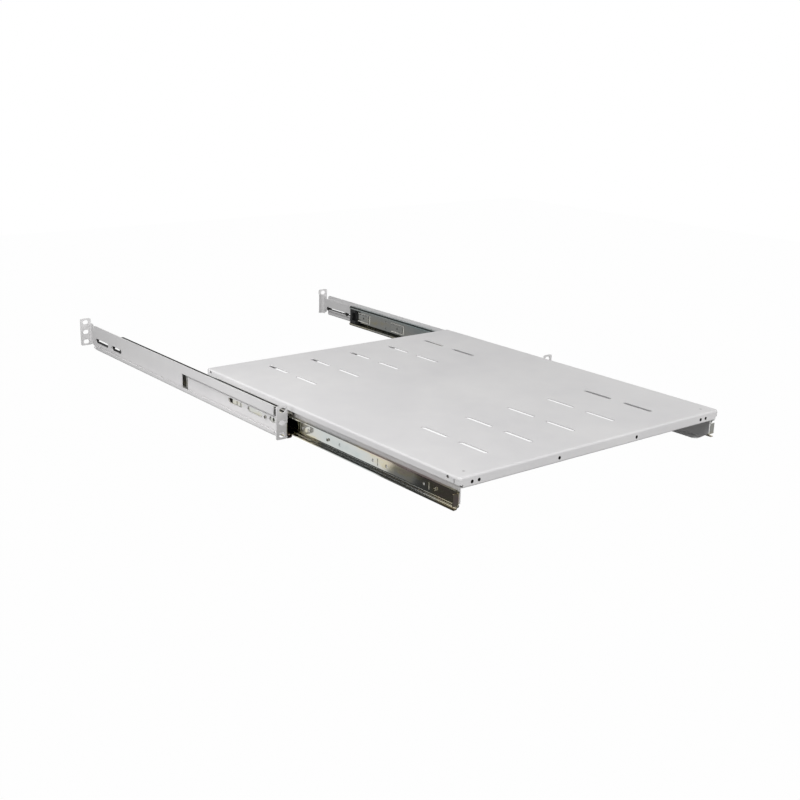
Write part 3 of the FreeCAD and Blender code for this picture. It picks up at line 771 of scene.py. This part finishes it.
tray_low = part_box("shelf_tray")[0]
sleeve_middle = tray_low[1] + SLEEVE_SETBACK + SLEEVE["Length"] / 2
lay_down = Matrix.Rotation(QUARTER_TURN, 4, "X")
stand_up = lay_down.inverted()
upright = [stand_up @ Vector((x, sleeve_middle, HOLE_HEIGHT)) for x in HOLE_PLACES]
grow("front_hole_threads", upright, tapped_sleeve, SLEEVE, "shelf", turn=lay_down)

# %% [markdown]
# ## The studio floor
# A catalogue picture is taken on a white sweep, which the camera sees as white paper.
# To light a real sweep that white takes so much light that the pale paint would burn out.
# Here Light Path tells the rays apart: the camera, mirrors and glass see a white glow,
# and for all other light the floor is dark paper that throws little of it back up.

# %% Floor
FLOOR_DROP = 0.7
FLOOR_HALF = 6.0
FLOOR_GREY = 0.05
FLOOR_WHITE_SHARE = 0.99
WHITE = (1.0, 1.0, 1.0, 1.0)


def seen_directly(graph):
    """One for rays from the camera, from a mirror or through glass, and zero for the rest."""
    ray = graph.add("ShaderNodeLightPath", output="Is Camera Ray")
    glossy = graph.add("ShaderNodeLightPath", output="Is Glossy Ray")
    through = graph.add("ShaderNodeLightPath", output="Is Transmission Ray")
    return (ray + glossy + through).at_most(1.0)


def show(graph, share, shader, shown, output_type):
    """Mix a second shader over the first one by a share, and lead both to the tree's output."""
    mixed = graph.add("ShaderNodeMixShader", None, {0: share, 1: shader, 2: shown})
    output = next(node for node in graph.tree.nodes if node.type == output_type)
    graph.tree.links.new(mixed.socket, output.inputs["Surface"])


def floor_material():
    sweep = Finish("white_sweep", Base_Color=(FLOOR_GREY, FLOOR_GREY, FLOOR_GREY, 1.0), Roughness=0.9)
    glow = sweep.add("ShaderNodeEmission", None, {"Color": WHITE, "Strength": 1.0})
    paper = Value(sweep, sweep.shader.outputs[0])
    show(sweep, seen_directly(sweep) * FLOOR_WHITE_SHARE, paper, glow, "OUTPUT_MATERIAL")
    return sweep.material


def flat_sheet(name, corners, material):
    """A flat sheet of the studio, through four corners."""
    mesh = bpy.data.meshes.new(name)
    mesh.from_pydata(corners, [], [(0, 1, 2, 3)])
    mesh.materials.append(material)
    sheet = bpy.data.objects.new(name, mesh)
    scene.collection.objects.link(sheet)
    return sheet


square = ((-1, -1), (1, -1), (1, 1), (-1, 1))
floor_corners = [(x * FLOOR_HALF, y * FLOOR_HALF, -FLOOR_DROP) for x, y in square]
flat_sheet("studio_floor", floor_corners, floor_material())
print("floor", FLOOR_DROP, "m below the shelf's origin")

# %% [markdown]
# ## Dark cards
# Bright metal shows whatever stands around it, so a photographer places dark cards where the metal should
# turn dark. Ours are seen only by glossy rays: they throw no shadow and take no light from the paint.
# The mirror law says where they stand. The slides' upright webs mirror the floor behind on the left,
# their front ends mirror the floor in front on the right, what faces down mirrors the floor
# under the shelf, and everything that faces up mirrors the back of the room.

# %% Cards
CARD_LIFT = 0.01
CARD_HEIGHT = -FLOOR_DROP + CARD_LIFT
BACK_FLAG = [(-4.0, 3.6, -0.3), (5.0, 3.6, -0.3), (5.0, 3.6, 3.6), (-4.0, 3.6, 3.6)]
BLACK = (0.0, 0.0, 0.0, 1.0)


def dark_card(name, corners, level):
    """A grey card that only mirrors see; level is how bright it looks."""
    grey = (level, level, level, 1.0)
    paper = Finish(name + "_paper", Base_Color=BLACK, Emission_Color=grey, Emission_Strength=1.0)
    card = flat_sheet(name, corners, paper.material)
    card.visible_camera = False
    card.visible_diffuse = False
    card.visible_transmission = False
    card.visible_shadow = False
    print(name, "at level", level)


def floor_card(name, level, *places):
    dark_card(name, [(x, y, CARD_HEIGHT) for x, y in places], level)


dark_card("back_flag", BACK_FLAG, 0.03)
floor_card("front_web_card", 0.012, (-1.9, 0.3), (-0.8, 0.3), (-0.8, 0.655), (-1.9, 1.617))
floor_card("middle_web_card", 0.16, (-1.9, 1.617), (-0.8, 0.655), (-0.8, 0.88), (-1.9, 1.636))
floor_card("right_web_card", 0.2, (-2.3, 2.28), (-1.0, 2.28), (-1.0, 3.3), (-2.3, 3.3))
floor_card("under_shelf_card", 0.03, (-0.75, -0.7), (1.2, -0.7), (1.2, 2.2), (-0.75, 2.2))
floor_card("left_end_card", 0.02, (0.2, -2.6), (1.42, -2.6), (1.42, -1.0), (0.2, -1.0))
floor_card("right_end_card", 0.3, (1.42, -2.6), (2.6, -2.6), (2.6, -1.0), (1.42, -1.0))

# %% [markdown]
# ## Lamps
# Six soft square lamps stand round the shelf, and each one lights mostly the faces that look its way.
# The large one above on the left is the main light, and the others fill the sides, the front and the back.
# A lamp in the metal would be a bright square beside the cards, so the lamps are hidden from glossy rays:
# the paint is lit by the lamps, and the metal by what it mirrors.

# %% Soft lamps


def area_lamp(name, watts, size, place, target):
    """A soft square lamp that faces a target, and that neither the camera nor a mirror sees."""
    lamp = bpy.data.lights.new(name, "AREA")
    lamp.shape = "SQUARE"
    lamp.size = size
    lamp.energy = watts
    holder = bpy.data.objects.new(name, lamp)
    holder.location = place
    holder.rotation_euler = (Vector(target) - Vector(place)).to_track_quat("-Z", "Y").to_euler()
    holder.visible_camera = False
    holder.visible_glossy = False
    scene.collection.objects.link(holder)
    print(name, watts, "watts")


area_lamp("left_softbox", watts=2.2, size=0.4, place=(-0.8, 0.12, 0.22), target=(-0.2, 0.12, 0.0))
area_lamp("top_softbox", watts=36.0, size=1.8, place=(-1.1, -0.35, 1.5), target=(0.0, 0.0, 0.0))
area_lamp("front_right_softbox", watts=22.0, size=1.2, place=(0.9, -2.3, 0.5), target=(0.1, 0.0, 0.0))
area_lamp("front_left_softbox", watts=22.0, size=1.2, place=(-0.5, -2.6, 0.4), target=(-0.1, 0.0, 0.0))
area_lamp("right_softbox", watts=7.0, size=0.8, place=(1.3, 0.2, 0.12), target=(0.2, 0.15, 0.0))
area_lamp("back_softbox", watts=10.0, size=1.0, place=(0.7, 1.7, 0.9), target=(0.1, 0.1, 0.0))

# %% [markdown]
# ## The room
# The world stands for the white walls. As with the floor, the camera and mirrors see it white,
# while it gives the paint only a faint even light, just enough to open up the shadows.

# %% World
WORLD_LEVEL = 0.085


def white_room():
    world = scene.world or bpy.data.worlds.new("studio")
    scene.world = world
    world.use_nodes = True
    sky = Graph(world.node_tree)
    background = next(node for node in sky.tree.nodes if node.type == "BACKGROUND")
    background.inputs["Color"].default_value = WHITE
    background.inputs["Strength"].default_value = WORLD_LEVEL
    seen = sky.add("ShaderNodeBackground", None, {"Color": WHITE, "Strength": 1.0})
    show(sky, seen_directly(sky), Value(sky, background.outputs[0]), seen, "OUTPUT_WORLD")


white_room()
scene.view_settings.view_transform = "Standard"
print("white room with light level", WORLD_LEVEL)
